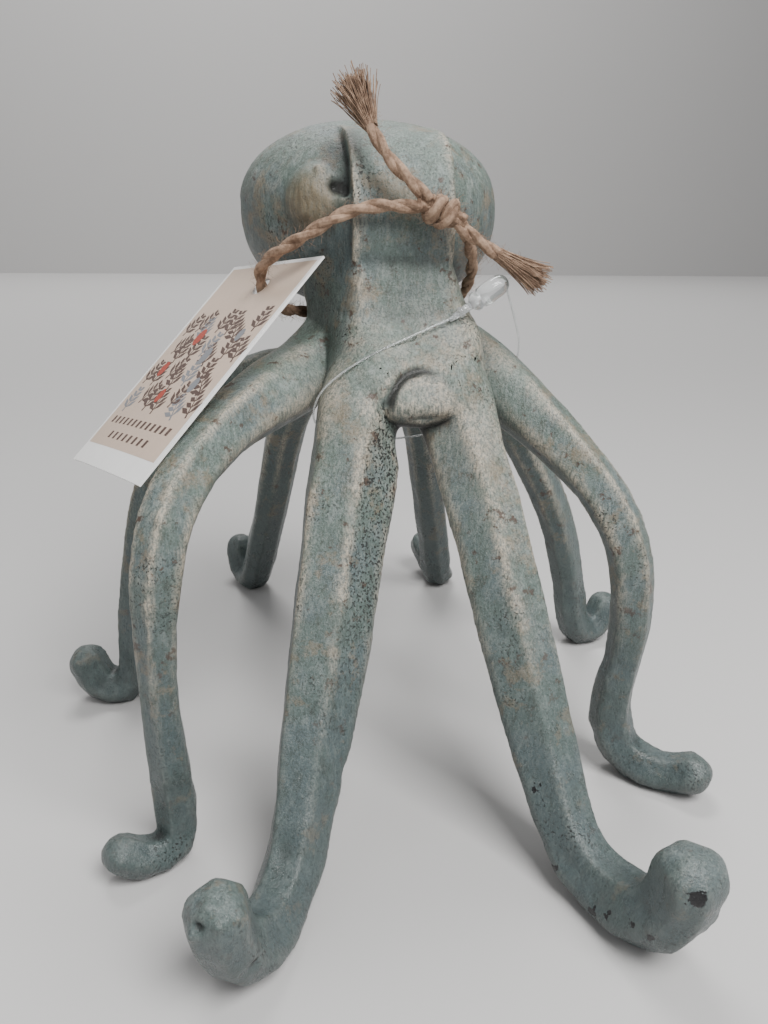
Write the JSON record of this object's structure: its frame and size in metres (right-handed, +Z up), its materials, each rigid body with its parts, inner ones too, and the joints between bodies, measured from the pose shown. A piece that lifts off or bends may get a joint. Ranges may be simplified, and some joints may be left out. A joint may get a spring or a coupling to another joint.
{
  "type": "octopus figurine",
  "caption": "Standing cast octopus ornament with bent, faceted arms seated on a bulbous head, a twine loop with a swinging card tag, and a clear loop fastener.",
  "frame": {"origin": "on the floor, midway between the outermost arm tips of the casting", "axes": "+Z up, -Y the side the picture shows, with the forehead strip and the siphon, +X to the right of the picture"},
  "size_m": [0.1795, 0.2085, 0.1637],
  "materials": {
    "verdigris_casting": "hand-filed casting painted grey-green, rubbed back to cream on the ridges, rust-spotted, slightly glossy",
    "jute_twine": "hairy twisted jute",
    "printed_card": "printed card with white cut edges",
    "clear_plastic": "clear moulded plastic"
  },
  "bodies": {
    "figurine": {"head_casting": "verdigris_casting", "arm_front_left": "verdigris_casting", "arm_front_right": "verdigris_casting", "arm_left": "verdigris_casting", "arm_right": "verdigris_casting", "arm_rear_left": "verdigris_casting", "arm_rear_right": "verdigris_casting", "arm_back_left": "verdigris_casting", "arm_back_right": "verdigris_casting", "twine_loop": "jute_twine", "twine_knot": "jute_twine", "twine_end_upper": "jute_twine", "twine_end_lower": "jute_twine", "fastener_lock": "clear_plastic", "fastener_filament": "clear_plastic"},
    "tag": {"hang_tag": "printed_card"}
  },
  "joints": [
    {"name": "tag_lift", "type": "hinge", "parent": "figurine", "child": "tag", "pos_m": [-0.031, -0.0095, 0.1201], "axis": [-0.4479, 0.8889, -0.096], "range_deg": [0, 35]}
  ]
}
